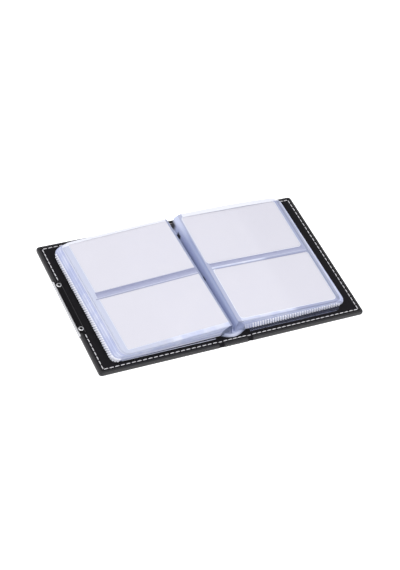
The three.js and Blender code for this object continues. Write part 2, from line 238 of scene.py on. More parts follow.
leather = {
    "dark": (0.0085, 0.0080, 0.0095, 1),
    "light": (0.0170, 0.0160, 0.0185, 1),
    "grainCells": 1150.0,
    "roughness": (0.34, 0.50),
    "bump": 0.45,
    "depth": 0.00014,
    "gloss": 0.20,
    "coat": 0.22,
    "coatRoughness": 0.22,
}

def leatherFinish(name, look):
    finish = Finish(name, {
        "Specular IOR Level": look["gloss"], "Coat Weight": look["coat"],
        "Coat Roughness": look["coatRoughness"],
    })
    where = finish.place()
    sockets = {"Vector": where, "Scale": look["grainCells"], "Smoothness": 0.4, "Randomness": 0.9}
    pebbles = finish.node("TexVoronoi", {"feature": "SMOOTH_F1"}, sockets, "Distance")
    cloudy = finish.noise(where, 260.0, 4.0, 0.6)
    fine = finish.noise(where, 3800.0, 2.0)
    shade = cloudy * 0.6 + pebbles * 0.5
    finish.feed("Base Color", finish.mixed(shade, look["light"], look["dark"]))
    low, high = look["roughness"]
    finish.feed("Roughness", low + (high - low) * cloudy)
    finish.feed("Normal", finish.bumped(pebbles + fine * 0.25, look["bump"], look["depth"]))
    return finish

leatherette = leatherFinish("leatherette", leather)

liningLook = {
    **leather,
    "dark": (0.0070, 0.0066, 0.0078, 1),
    "light": (0.0135, 0.0128, 0.0148, 1),
    "roughness": (0.55, 0.72),
    "bump": 0.3,
    "depth": 0.00009,
    "gloss": 0.05,
    "coat": 0.0,
    "grainCells": 1700.0,
}
lining = leatherFinish("lining", liningLook)

# The backing is the lining's stuff, a little darker, with a grey line painted along it: a painted
# highlight of the strip's raised inner edge
backingLook = {
    **liningLook,
    "dark": (0.0045, 0.0042, 0.005, 1),
    "light": (0.009, 0.0085, 0.0098, 1),
    # painted highlight along the strip's inner edge
    "line": (0.075, 0.072, 0.078, 1),
    "lineAt": -115.5,
    "lineHalfWidth": 0.3,
    "grainCells": 2300.0,
}
backing = leatherFinish("backing", backingLook)

def pressLine():
    x = backing.axes(backing.place())[0]
    away = abs(x - backingLook["lineAt"] * mm)
    # where the painted edge highlight lies
    share = backing.between(away, (0.0, backingLook["lineHalfWidth"]), 1.0, 0.0)
    plain = backing.noise(backing.place(), 400.0, 3.0)
    ground = backing.mixed(plain, backingLook["light"], backingLook["dark"])
    backing.feed("Base Color", backing.mixed(share, ground, backingLook["line"]))

pressLine()

boardLook = {"dark": (0.19, 0.175, 0.145, 1), "light": (0.31, 0.29, 0.24, 1), "fibres": 900.0}

def boardFinish():
    finish = Finish("greyBoard", {})
    where = finish.place()
    fibres = finish.noise(finish.stretched(where, (1.0, 1.0, 4.0)), boardLook["fibres"], 5.0, 0.7)
    finish.feed("Base Color", finish.mixed(fibres, boardLook["dark"], boardLook["light"]))
    finish.feed("Roughness", 0.82 + 0.12 * fibres)
    finish.feed("Normal", finish.bumped(fibres, 0.4, 0.0001))
    return finish

greyBoard = boardFinish()

threadLook = {
    "dark": (0.42, 0.41, 0.43, 1),
    "light": (0.80, 0.79, 0.81, 1),
    "strands": 9000.0,
    "twist": 1.6,
    "fuzz": 2400.0,
}

def threadFinish():
    finish = Finish("whiteThread", {"Sheen Weight": 0.3})
    where = finish.place()
    x, y, z = finish.axes(where)
    winding = (x + y + z * threadLook["twist"]) * threadLook["strands"]
    strands = finish.node("Math", {"operation": "SINE"}, {0: winding})
    fuzz = finish.noise(where, threadLook["fuzz"], 4.0, 0.7)
    shade = 0.35 + 0.25 * strands + 0.5 * fuzz
    finish.feed("Base Color", finish.mixed(shade, threadLook["dark"], threadLook["light"]))
    finish.feed("Roughness", 0.55 + 0.2 * fuzz)
    finish.feed("Normal", finish.bumped(strands * 0.5 + fuzz, 0.5, 0.00008))
    return finish

whiteThread = threadFinish()

steelLook = {
    "bright": (0.86, 0.86, 0.88, 1),
    "dull": (0.70, 0.70, 0.73, 1),
    # painted shade: a black disc over the rivet's bore and round it, wider than the bore
    "hole": (0.01, 0.01, 0.012, 1),
    "holeRadius": 1.45,
    # painted shade on the rivet's outer ring
    "ring": (0.16, 0.16, 0.17, 1),
    "ringEnds": (1.5, 2.1),
    "ringShare": 0.65,
    # painted shade of the plate's outer rounding
    "edge": (0.42, 0.42, 0.43, 1),
    "edgeAt": -121.0,
    "edgeLow": 0.9,
    "satin": 0.9,
}

def steelFinish(name, holeAt=None):
    finish = Finish(name, {"Metallic": 1.0})
    where = finish.place()
    x, y, z = finish.axes(where)
    brushed = finish.noise(finish.stretched(where, (1.0, 0.06, 1.0)), 5200.0, 4.0, 0.6)
    smears = finish.noise(where, 140.0, 3.0)
    colour = finish.mixed(smears, steelLook["bright"], steelLook["dull"])
    if holeAt:
        away = ((x - holeAt[0] * mm) ** 2.0 + (y - holeAt[1] * mm) ** 2.0) ** 0.5
        radius = steelLook["holeRadius"]
        # the bore and a ring round it are painted black: painted shade of the hole
        hole = finish.between(away, (radius * 0.96, radius * 1.12), 1.0, 0.0)
        # the outer part of the ring is painted darker: painted shade where the rounded rim turns away
        shaded = finish.between(away, steelLook["ringEnds"], 0.0, steelLook["ringShare"])
        colour = finish.mixed(shaded, colour, steelLook["ring"])
        colour = finish.mixed(hole, colour, steelLook["hole"])
        finish.feed("Metallic", 1.0 - hole)
    else:
        # a grey line painted along the plate's outer rounding, made non-metal there: painted shade of
        # the rounded edge
        edgeAt, edgeLow = steelLook["edgeAt"], steelLook["edgeLow"]
        outer = finish.between(x, (edgeAt, edgeAt + 0.15), 1.0, 0.0)
        raised = finish.between(z, (edgeLow, edgeLow + 0.6))
        colour = finish.mixed(outer * raised, colour, steelLook["edge"])
        finish.feed("Metallic", 1.0 - raised * (outer + steelLook["satin"] * (1.0 - outer)))
    finish.feed("Base Color", colour)
    finish.feed("Roughness", 0.10 + 0.10 * brushed + 0.06 * smears)
    finish.feed("Normal", finish.bumped(brushed, 0.06, 0.00003))
    return finish


# Clear soft film. Windows over the cards let them show; welded margins are milkier.

filmLook = {
    "milk": (0.620, 0.665, 0.860, 1),
    "pale": (0.780, 0.805, 0.930, 1),
    "deep": (0.360, 0.400, 0.620, 1),
    # painted shade in the pocket mouths and along their lips
    "mouthHigh": (0.290, 0.305, 0.455, 1),
    "mouthLow": (0.455, 0.475, 0.650, 1),
    "line": (0.860, 0.870, 0.950, 1),
    # painted highlight of the film's fold round the card windows
    "fold": (0.950, 0.960, 1.000, 1),
    "tip": (0.940, 0.945, 0.985, 1),
    "band": (0.270, 0.300, 0.430, 1),
    "window": 0.05,
    "margin": 0.93,
}

# Ribs run round the rims of the lower leaves and lean a little up the stack
ribbing = {"pitch": 2.35, "foreStart": -55.7, "foreLean": 0.68, "footStart": 9.0, "footLean": 0.16}

pages = {
    "length": 96.7,
    "halfHeight": 62.2,
    "foreRadius": 6.5,
    "innerRadius": 1.0,
    "innerPitch": 0.82,
    "outerPitch": 0.64,
    "base": 4.5,
    "thickness": 0.5,
    "topThickness": 0.72,
    "pocketNear": 1.2,
    "pocketFar": 94.5,
    "lowerFoot": -59.7,
    "upperFoot": 3.1,
    "mouth": (-1.5, 2.5),
    "mouthFar": 92.4,
    "mouthRise": 2.2,
    "fanBend": 2.8,
    "blockShift": 1.7,
}

halves = {
    "left": {
        "side": -1, "leaves": 13, "inset": 3.9, "fan": 7.2, "yaw": (1.0, 1.8), "shift": (1.1, 1.2),
        "inner": {"share": 0.85, "tone": (0.270, 0.300, 0.440, 1), "reach": 1.5, "rim": 0.0},
        "rim": 0.5, "outerBand": 0.0, "curl": 0.5, "cardRadius": 0.8, "lean": 0.88, "crown": 0.72,
        "cards": {"upper": -1.32, "lower": -1.32}, "rise": 0.9, "beside": (0.600, 0.630, 0.770, 1),
    },
    "right": {
        "side": 1, "leaves": 11, "inset": 6.0, "fan": 5.2, "yaw": (1.3, -0.5), "shift": (2.1, 4.4),
        "inner": {"share": 0.9, "tone": (0.450, 0.480, 0.640, 1), "reach": 3.4, "rim": 1.0},
        "rim": 0.95, "outerBand": 0.8, "curl": 1.5, "cardRadius": 2.8, "lean": 0.16, "crown": 0.08,
        "cards": {"upper": -0.91, "lower": 0.91}, "rise": -0.4, "beside": (0.395, 0.425, 0.600, 1),
    },
}

insert = {
    "width": 90.0,
    "height": 55.0,
    "thickness": 0.22,
    "level": 0.25,
    "standoff": 2.4,
    "gap": 7.8,
    "cells": 6,
}

def leafInset(half, index):
    share = index / (half["leaves"] - 1)
    return half["inset"] + half["fan"] * (1 - share ** pages["fanBend"])

def leafYaw(half, index):
    low, top = half["yaw"]
    return math.radians(low + (top - low) * index / (half["leaves"] - 1))

def leafPlace(half, index):
    low, top = half["shift"]
    shift = low + (top - low) * index / (half["leaves"] - 1)
    tilt = math.atan((pages["innerPitch"] - pages["outerPitch"]) * index / pages["length"])
    height = pages["base"] + pages["innerPitch"] * index
    spot = Vector((half["side"] * leafInset(half, index), shift, height))
    turn = Matrix.Rotation(half["side"] * tilt, 4, "Y") @ Matrix.Rotation(leafYaw(half, index), 4, "Z")
    return Matrix.Translation(spot) @ turn

# Shares of a band between two places, soft at both ends
def bandOf(finish, value, low, high, soft=0.12):
    rise = finish.between(value, (low - soft, low + soft))
    fall = finish.between(value, (high - soft, high + soft), 1.0, 0.0)
    return rise * fall

# Place on a leaf: outward from its inner edge, and along it
def onLeaf(finish, where, half, index):
    back = leafPlace(half, index).inverted()
    turned = finish.node(
        "Mapping", {"vector_type": "POINT"},
        {"Vector": where, "Location": back.translation * mm, "Rotation": back.to_euler()},
    )
    x, y = finish.axes(turned)[:2]
    return x * half["side"], y

def stackFilm(name, side, tone, ticks):
    finish = Finish(name, {"IOR": 1.5})
    where = finish.place()
    x, y, z = finish.axes(where)
    cloudy = finish.noise(where, 110.0, 3.0, 0.5)
    turns = 2 * math.pi / (ribbing["pitch"] * mm)
    if side == "left":
        along = y + z * ribbing["foreLean"] - ribbing["foreStart"] * mm
    else:
        along = abs(x) + z * ribbing["footLean"] - ribbing["footStart"] * mm
    ribs = finish.node("Math", {"operation": "COSINE"}, {0: along * turns})
    pale = finish.mixed(finish.step(cloudy, 0.35, 0.7), filmLook["milk"], filmLook["pale"])
    toned = finish.mixed(tone, filmLook["deep"], pale)
    # the ribs are in the bump; their pale and deep stripes are painted glints and painted shade on the
    # ribbed rims
    ribbed = finish.mixed(0.5 + 0.5 * ribs, filmLook["deep"], filmLook["line"])
    finish.feed("Base Color", finish.mixed(ticks, toned, ribbed))
    finish.feed("Roughness", 0.16 + 0.16 * cloudy)
    finish.feed("Normal", finish.bumped(ribs, 0.25 * ticks + 0.02, 0.0004))
    return finish

topFilmLook = {
    "beside": (50.0, 60.0),
    "besideShare": 0.9,
    "mouthDepth": (-1.5, 4.6),
    "lineShare": 0.45,
    "head": (58.2, 59.2),
    "clearing": (-0.12, 0.0),
    "rimStart": (0.0, 0.1),
    "rimEnd": (0.45, 0.6),
    "outer": (96.3, 96.5),
    "lip": (-3.9, -2.8),
    "lipShare": 0.75,
    "outerShare": 0.6,
}

# The top leaves: clear over their cards and tinted where film lies on film, with painted shade in the
# mouths, along the lips and beside the gutter, and painted highlights along pocket rims, mouths and
# edges
def topFilm(name, half, index):
    look = topFilmLook
    finish = Finish(name, {"IOR": 1.5})
    where = finish.place()
    cloudy = finish.noise(where, 90.0, 3.0, 0.5)
    ripples = finish.noise(finish.stretched(where, (1.0, 0.35, 1.0)), 210.0, 2.0)
    u, v = onLeaf(finish, where, half, index)
    colour = finish.mixed(finish.step(cloudy, 0.35, 0.7), filmLook["milk"], filmLook["pale"])
    inPocket = bandOf(finish, u, pages["pocketNear"], pages["pocketFar"])
    outward = finish.between(u, look["beside"])
    colour = finish.mixed(look["besideShare"] * outward, colour, half["beside"])
    colour = finish.mixed(inPocket * outward, colour, half["beside"])
    band = finish.between(u, (pages["pocketFar"], pages["pocketFar"] + 0.2))
    colour = finish.mixed(band * half["outerBand"], colour, filmLook["band"])
    lowMouth, highMouth = pages["mouth"]
    across = bandOf(finish, u, pages["pocketNear"], pages["mouthFar"])
    opening = bandOf(finish, v, lowMouth, highMouth + pages["mouthRise"]) * across
    streaks = finish.noise(finish.stretched(where, (0.25, 2.2, 1.0)), 900.0, 3.0, 0.6)
    # the band between the cards is painted darker towards the upper card: painted shade under the upper
    # pocket's foot; its lighter lower end is the film's tone over the gap
    depth = finish.between(v + (streaks - 0.5) * 0.006, look["mouthDepth"])
    mouth = finish.mixed(depth, filmLook["mouthLow"], filmLook["mouthHigh"])
    colour = finish.mixed(opening, colour, mouth)
    # a pale line painted at the foot of the mouth: a painted highlight of the lower pocket's opening
    # edge
    line = bandOf(finish, v, lowMouth - 0.5, lowMouth + 0.1)
    colour = finish.mixed(look["lineShare"] * line * inPocket, colour, filmLook["line"])
    colour = finish.mixed(finish.between(v, look["head"]), colour, filmLook["line"])
    window, rim = None, None
    for row, sign in (("upper", 1), ("lower", -1)):
        middle = (pages["pocketNear"] + pages["pocketFar"]) / 2 + half["cards"][row]
        centre = sign * (insert["gap"] + insert["height"]) / 2 + half["rise"]
        radius = half["cardRadius"]
        a = (abs(u - middle * mm) - (insert["width"] / 2 - radius) * mm).larger(0.0)
        b = (abs(v - centre * mm) - (insert["height"] / 2 - radius) * mm).larger(0.0)
        past = (a * a + b * b) ** 0.5 - radius * mm
        clear = finish.between(past, look["clearing"], 1.0, 0.0)
        # a pale rim painted round each card window: a painted highlight of the film's fold at the
        # card's edge
        edge = finish.between(past, look["rimStart"]) * finish.between(past, look["rimEnd"], 1.0, 0.0)
        window = clear if window is None else window.larger(clear)
        rim = edge if rim is None else rim.larger(edge)
    # a dark line painted just above the lower card's top edge: painted shade in the pocket's mouth
    lipLow, lipHigh = look["lip"]
    lip = bandOf(finish, v, half["rise"] + lipLow, half["rise"] + lipHigh) * inPocket
    rim = rim * (1.0 - lip)
    colour = finish.mixed(look["lipShare"] * lip, colour, filmLook["mouthHigh"])
    # the strip between the inner cards and the gutter is painted in a gutter-wall tone: painted shade
    # where the film drops into the gutter
    margin = half["inner"]
    inner = finish.between(u, (margin["reach"] - 0.15, margin["reach"]), 1.0, 0.0)
    colour = finish.mixed(inner * margin["share"], colour, margin["tone"])
    rim = rim * half["rim"] * (1.0 - inner * (1.0 - margin["rim"]))
    colour = finish.mixed(rim, colour, filmLook["fold"])
    # a pale line painted along the leaf's outer edge: a painted highlight of the film's cut edge
    outer = look["outerShare"] * finish.between(u, look["outer"])
    colour = finish.mixed(outer, colour, filmLook["line"])
    finish.feed("Alpha", filmLook["margin"] - (filmLook["margin"] - filmLook["window"]) * window)
    finish.feed("Base Color", colour)
    finish.feed("Roughness", 0.24 + 0.16 * cloudy)
    finish.feed("Normal", finish.bumped(ripples, 0.12, 0.0004))
    return finish

# The films of both halves, counted down from the top leaf
def filmPair(name, down):
    return {
        side: topFilm(side + name, half, half["leaves"] - 1 - down) for side, half in halves.items()
    }

topFilms = filmPair("TopFilm", 0)
nextFilms = filmPair("NextFilm", 1)

# Below them the leaves differ a little in tone, so that their edges read as lines
stackLook = {
    "tones": (0.95, 0.7, 0.95, 0.6, 0.9, 0.7, 0.45, 0.85, 0.6, 0.9, 0.45, 0.8),
    "ticks": 0.75,
    "fewer": 0.12,
}

def stackOf(side):
    films = []
    for k, tone in enumerate(stackLook["tones"]):
        ticks = max(0.0, stackLook["ticks"] - stackLook["fewer"] * k)
        films.append(stackFilm("%sStackFilm%02d" % (side, k + 1), side, tone, ticks))
    return films

stackFilms = {side: stackOf(side) for side in halves}

endSheetLook = {
    "rim": 0.75,
    "inside": 0.05,
    "rimWidth": 0.4,
    "reach": 103.0,
    "halfHeight": 63.0,
    "back": (0.0, 10.0),
    "backShare": 0.25,
}

def endSheetFinish():
    finish = Finish("endSheetFilm", {"IOR": 1.5})
    where = finish.place()
    x, y = finish.axes(where)[:2]
    look = endSheetLook
    pastSide = abs(x) - (look["reach"] - look["rimWidth"]) * mm
    pastEnd = abs(y) - (look["halfHeight"] - look["rimWidth"]) * mm
    behind = finish.between(x, look["back"], 1.0, look["backShare"])
    # a pale rim painted along the sheet's edge, weaker right of the spine: a painted highlight of its
    # cut edge
    rim = finish.between(pastSide.larger(pastEnd), (-0.1, 0.1)) * behind
    cloudy = finish.noise(where, 120.0)
    finish.feed("Base Color", finish.mixed(rim, filmLook["deep"], filmLook["pale"]))
    finish.feed("Alpha", look["inside"] + (look["rim"] - look["inside"]) * rim)
    finish.feed("Roughness", 0.15 + 0.15 * cloudy)
    return finish

endSheetFilm = endSheetFinish()

gutterLook = {
    "low": (0.250, 0.280, 0.400, 1),
    "middle": (0.390, 0.435, 0.640, 1),
    "high": (0.265, 0.310, 0.490, 1),
    "headTone": (0.600, 0.640, 0.810, 1),
    "headEnds": (34.0, 60.0),
    "headShare": 0.85,
    "foot": (0.600, 0.620, 0.760, 1),
    "footEnds": (-66.0, -61.5),
    "footCoat": 0.3,
    "gap": (0.030, 0.031, 0.042, 1),
    "gapSpots": ((48.7, 3.2), (-2.0, 3.2), (-53.0, 2.6)),  # place and reach
    "gapHeights": (7.2, 8.6),
    "openHead": (55.0, 61.0),
    "openHeights": (8.0, 11.0),
    "heights": (5.0, 9.0, 14.0),
}

def gutterFinish(name):
    look = gutterLook
    finish = Finish(name, {"IOR": 1.5})
    where = finish.place()
    y, z = finish.axes(where)[1:]
    cloudy = finish.noise(finish.stretched(where, (1.0, 0.25, 1.0)), 160.0, 3.0)
    # the wall is painted darker low down, lighter in the middle and darker again near the top: painted
    # shade of the gutter's valley
    low, middle, high = look["heights"]
    level = z + (cloudy - 0.5) * 0.002
    colour = finish.mixed(finish.between(level, (low, middle)), look["low"], look["middle"])
    colour = finish.mixed(finish.between(level, (middle, high)), colour, look["high"])
    # lighter towards the head end: painted light
    lit = finish.between(y, look["headEnds"], 0.0, look["headShare"])
    colour = finish.mixed(lit, colour, look["headTone"])
    # lighter at the foot: painted light lifting the shaded fold of the tongue
    foot = finish.between(y, look["footEnds"], 1.0, 0.0)
    colour = finish.mixed(foot, colour, look["foot"])
    patches = finish.noise(where, 320.0, 2.0)
    # dark patches painted on the wall film at three places along it, and another at the head end
    gaps = None
    for spot, reach in look["gapSpots"]:
        away = abs(y - spot * mm) + (patches - 0.5) * 0.004
        near = finish.between(away, (0.5 * reach, reach), 1.0, 0.0)
        gaps = near if gaps is None else gaps.larger(near)
    gaps = gaps * finish.between(z + (patches - 0.5) * 0.003, look["gapHeights"], 1.0, 0.0)
    head = finish.between(y, look["openHead"]) * finish.between(z, look["openHeights"], 1.0, 0.0)
    finish.feed("Base Color", finish.mixed(gaps.larger(head), colour, look["gap"]))
    finish.feed("Coat Weight", look["footCoat"] * foot)
    finish.feed("Roughness", 0.30 + 0.15 * cloudy)
    finish.feed("Normal", finish.bumped(cloudy, 0.15, 0.0005))
    return finish

gutterFilm = gutterFinish("gutterFilm")

def combFinish():
    finish = Finish("combFilm", {"IOR": 1.5})
    cloudy = finish.noise(finish.place(), 300.0, 3.0)
    finish.feed("Base Color", finish.mixed(cloudy, filmLook["line"], filmLook["tip"]))
    finish.feed("Roughness", 0.2 + 0.2 * cloudy)
    return finish

combFilm = combFinish()

paperLook = {
    "dark": (0.705, 0.690, 0.745, 1),
    "light": (0.755, 0.740, 0.795, 1),
    "fibres": 1500.0,
    "clouds": 35.0,
}

def paperFinish():
    finish = Finish("whiteCard", {"Specular IOR Level": 0.3})
    where = finish.place()
    fibres = finish.noise(where, paperLook["fibres"], 4.0, 0.7)
    clouds = finish.noise(where, paperLook["clouds"], 2.0)
    share = fibres * 0.5 + clouds * 0.5
    finish.feed("Base Color", finish.mixed(share, paperLook["dark"], paperLook["light"]))
    finish.feed("Roughness", 0.55 + 0.2 * fibres)
    finish.feed("Normal", finish.bumped(fibres, 0.15, 0.00005))
    return finish

whiteCard = paperFinish()
print("finishes made")


# The CAD nodes that stay take these finishes

rivetSpots = {"upper_rivet": (-117.7, 25.2), "lower_rivet": (-117.7, -23.0)}

def dress(name, finish):
    mesh = nodes[name].data
    mesh.materials.clear()
    mesh.materials.append(finish.material)

for name in nodes:
    if name.endswith("_skin"):
        dress(name, leatherette)
    elif name.endswith("_board"):
        dress(name, greyBoard)
    elif name.endswith("_lining") or name.endswith("_crease"):
        dress(name, lining)
    elif name.endswith("_end_sheet"):
        dress(name, endSheetFilm)
    elif name.endswith("_card"):
        dress(name, whiteCard)
    elif "_leaf_" in name:
        side, number = name.split("_")[0], int(name[-2:])
        dress(name, stackFilms[side][min(number, len(stackLook["tones"])) - 1])
    elif "film" in name or name == "page_root":
        dress(name, gutterFilm)
dress("left_leaf_12", nextFilms["left"])
dress("right_leaf_10", nextFilms["right"])
dress("edge_plate", steelFinish("plateSteel"))
dress("edge_plate_backing", backing)
for name, spot in rivetSpots.items():
    dress(name, steelFinish(name + "Steel", spot))
print("CAD pieces dressed")


# White stitching round the cover; the edge plate interrupts it on the front cover

stitching = {
    "pitch": 4.7,
    "length": 3.8,
    "width": 0.8,
    "height": 0.5,
    "slant": 0.12,
    "sunk": 0.14,
    "archHeight": 0.30,
    "steps": 6,
    "sides": 8,
    "lineFront": 116.4,
    "lineBack": 117.1,
    "lineY": 66.4,
    "creaseEnds": (10.7, 15.7),
    "plateGap": (-28.6, 30.4),
}

def addStitch(centre, along, points, faces):
    across = Vector((-along.y, along.x, 0))
    path, widths, heights = [], [], []
    for step in range(stitching["steps"] + 1):
        share = step / stitching["steps"]
        reach = (share - 0.5) * stitching["length"]
        arch = 1 - (2 * share - 1) ** 4
        level = coverTop - stitching["sunk"] + stitching["archHeight"] * arch
        side = stitching["slant"] * (share - 0.5)
        path.append(centre + along * reach + across * side + Vector((0, 0, level)))
        fullness = 0.55 + 0.45 * arch
        widths.append(stitching["width"] * fullness)
        heights.append(stitching["height"] * fullness)
    cordage(path, widths, heights, stitching["sides"], points, faces)

def stitchRun(start, end, points, faces):
    start, end = Vector((*start, 0)), Vector((*end, 0))
    run = end - start
    count = max(1, round(run.length / stitching["pitch"]))
    for k in range(count):
        addStitch(start + run * ((k + 0.5) / count), run.normalized(), points, faces)

def makeStitching():
    front, back, lineY = stitching["lineFront"], stitching["lineBack"], stitching["lineY"]
    inner, outer = stitching["creaseEnds"]
    gapFoot, gapHead = stitching["plateGap"]
    runs = {
        "front_cover": [
            ((-front, -lineY), (-outer, -lineY)), ((-front, lineY), (-outer, lineY)),
            ((-front, -lineY), (-front, gapFoot)), ((-front, gapHead), (-front, lineY)),
        ],
        "spine": [((-inner, -lineY), (inner, -lineY)), ((-inner, lineY), (inner, lineY))],
        "back_cover": [
            ((back, -lineY), (outer, -lineY)), ((back, lineY), (outer, lineY)),
            ((back, -lineY), (back, lineY)),
        ],
    }
    for body, lines in runs.items():
        points, faces = [], []
        for start, end in lines:
            stitchRun(start, end, points, faces)
        piece = makePiece(body + "Stitching", points, faces, whiteThread)
        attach(piece, body)

makeStitching()
print("stitching laid")


# The creases: skin and lining pressed together between the boards

crease = {
    "near": 10.85,
    "far": 15.55,
    "shoulder": 3.95,
    "floor": 3.2,
    "under": 0.12,
    "arch": 0.55,
    "roundFrom": 69.2,
    "rounding": 1.1,
    "columns": 13,
    "rowStep": 6.6,
    "stitchLift": 0.25,
}

def bendOverCrease(piece):
    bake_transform(piece)

def makeCrease(name, side, node):
    columns = crease["columns"]
    ends = [crease["roundFrom"] + crease["rounding"] * math.sin(math.pi / 2 * k / 5) for k in range(6)]
    lines = sorted([-y for y in ends] + [crease["rowStep"] * k for k in range(-10, 11)] + ends)
    upper, lower = [], []
    for y in lines:
        past = max(0.0, (abs(y) - crease["roundFrom"]) / crease["rounding"])
        endDrop = crease["rounding"] * (1 - math.sqrt(1 - min(1.0, past) ** 2))
        over, under = [], []
        for c in range(columns):
            share = c / (columns - 1)
            x = side * (crease["near"] + (crease["far"] - crease["near"]) * share)
            dip = math.sin(math.pi * share) ** 1.4
            top = crease["shoulder"] - (crease["shoulder"] - crease["floor"]) * dip - endDrop
            bottom = crease["under"] + crease["arch"] * dip + 0.8 * endDrop
            over.append((x, y, top))
            under.append((x, y, bottom))
        upper.append(over)
        lower.append(under)
    points, faces = [], []
    shell(upper, lower, points, faces)
    piece = makePiece(name, points, faces, lining, sharpAngle=40)
    bendOverCrease(piece)
    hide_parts(node)

# One stitch over each end of a crease
def makeCreaseStitches(name, side):
    points, faces = [], []
    middle = side * (crease["near"] + crease["far"]) / 2
    level = crease["floor"] - coverTop + crease["stitchLift"]
    for end in (-1, 1):
        centre = Vector((middle, end * stitching["lineY"], level))
        addStitch(centre, Vector((1, 0, 0)), points, faces)
    piece = makePiece(name, points, faces, whiteThread)
    bendOverCrease(piece)

makeCrease("frontCreaseSkin", -1, "front_crease")
makeCrease("backCreaseSkin", 1, "back_crease")
makeCreaseStitches("frontCreaseStitches", -1)
makeCreaseStitches("backCreaseStitches", 1)
print("creases pressed")


# The films of the gutter. Each rises from the welded rib and bends over to its leaf.

gutter = {
    "ribHalfWidth": 1.2,
    "weldHalfWidth": 1.9,
    "weldLow": 0.5,
    "weldHigh": 0.9,
    "turningWeld": 1.3,
    "seat": 0.1,
    "fanFrom": (1.9, 5.2),
    "fanTo": (8.0, 8.2),
    "split": 0.42,
    "thickness": 0.24,
    "topThickness": 0.34,
    "foot": -62.0,
    "head": 61.4,
    "tongueDepth": 4.2,
    "tongueHalfWidth": 11.5,
    "tongueFlare": 1.1,
    "tongueTaper": 0.75,
    "tongueLow": 4.1,
    "tongueRise": 10.0,
    "columns": 12,
    "rows": 44,
    "crowding": 1.35,
}

def tongueReach(x, z):
    inside = max(0.0, 1 - (x / gutter["tongueHalfWidth"]) ** 2)
    rise = min(1.0, max(0.0, (z - gutter["tongueLow"]) / gutter["tongueRise"]))
    return gutter["tongueDepth"] * inside ** gutter["tongueFlare"] * (1 - gutter["tongueTaper"] * rise)

# Middle line of one film in X and Z, and how far it skews along its length
def filmLine(half, index):
    fixed = half["leaves"] - 1
    isTop = index == fixed
    thickness = pages["topThickness"] if isTop else pages["thickness"]
    if isTop:
        weld = gutter["turningWeld"]
        rootHalfWidth = gutter["ribHalfWidth"]
    else:
        weld = gutter["weldLow"] + (gutter["weldHigh"] - gutter["weldLow"]) * index / (fixed - 1)
        rootHalfWidth = gutter["weldHalfWidth"]
    start = Vector((half["side"] * (rootHalfWidth + gutter["seat"]), coverTop + weld))
    height = pages["base"] + pages["innerPitch"] * index + thickness / 2
    end = Vector((half["side"] * (leafInset(half, index) - gutter["seat"]), height))
    run = end - start
    bend = Vector((start.x + half["lean"] * run.x, end.y - half["crown"] * run.y))
    return start, bend, end, math.tan(leafYaw(half, index))

def filmPoint(line, t):
    start, bend, end = line[:3]
    return start * (1 - t) ** 2 + bend * 2 * t * (1 - t) + end * t * t

def filmGrid(half, index, low=0.0, high=1.0):
    line = filmLine(half, index)
    span = line[2].x - line[0].x
    rise = pages["innerPitch"] * (half["leaves"] - 1)
    slant = (half["shift"][1] - pages["blockShift"]) / rise
    grid = []
    for r in range(gutter["rows"] + 1):
        share = r / gutter["rows"]
        along = share ** gutter["crowding"]
        row = []
        for c in range(gutter["columns"] + 1):
            t = low + (high - low) * c / gutter["columns"]
            spot = filmPoint(line, t)
            foot = gutter["foot"] - tongueReach(spot.x, spot.y)
            y = foot + (gutter["head"] - foot) * along
            drift = (spot.x - line[0].x) / span * line[3] * y
            shift = pages["blockShift"] + slant * (spot.y - pages["base"])
            row.append((spot.x - drift, y + shift, spot.y))
        grid.append(row)
    return grid

def makeGutter(name, half):
    side = half["side"]
    fixed = half["leaves"] - 1
    points, faces = [], []
    for index in range(fixed):
        sheet(filmGrid(half, index), gutter["thickness"], points, faces)
    fan = makePiece(name + "GutterFan", points, faces, gutterFilm)
    start, end = ((side * x * mm, 0, z * mm) for x, z in (gutter["fanFrom"], gutter["fanTo"]))
    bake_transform(fan)
    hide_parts(name + "_gutter_films")
    line = filmLine(half, fixed)
    split = gutter["split"]
    for part, low, high, bodies in (
        ("Lower", 0.0, split, ("spine", name + "_pages")),
        ("Upper", split, 1.0, (name + "_pages", name + "_turning_leaf")),
    ):
        points, faces = [], []
        sheet(filmGrid(half, fixed, low, high), gutter["topThickness"], points, faces)
        piece = makePiece(name + "TurningFilm" + part, points, faces, gutterFilm)
        a, b = filmPoint(line, low), filmPoint(line, high)
        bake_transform(piece)
        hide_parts(name + "_turning_film")

# A loose fold of film wraps the foot of the gutter
apron = {
    "low": 4.35,
    "high": 7.3,
    "halfWidth": 10.3,
    "narrowing": 4.5,
    "turnIn": 2.6,
    "clearance": 0.35,
    "thickness": 0.25,
    "rows": 16,
    "columns": 32,
}

# Inside it a small gusset closes the foot between the two turning films
gusset = {
    "low": 4.9,
    "rise": 2.4,
    "front": -64.0,
    "run": 5.0,
    "bulge": 0.5,
    "leftFoot": 1.3,
    "leftFlare": 2.2,
    "flareRise": 2.4,
    "rightFoot": 1.35,
    "rightFlare": 0.17,
    "cells": 10,
}

def gussetGrid():
    grid = []
    cells = gusset["cells"]
    for r in range(cells + 1):
        share = r / cells
        z = gusset["low"] + gusset["rise"] * share
        y = gusset["front"] + gusset["run"] * share ** 1.3
        flared = min(1.0, share * gusset["rise"] / gusset["flareRise"])
        left = -gusset["leftFoot"] - gusset["leftFlare"] * flared
        right = gusset["rightFoot"] + gusset["rightFlare"] * share
        row = []
        for c in range(cells + 1):
            across = c / cells
            bulge = gusset["bulge"] * math.sin(math.pi * across)
            row.append((left + (right - left) * across, y - bulge, z))
        grid.append(row)
    return grid

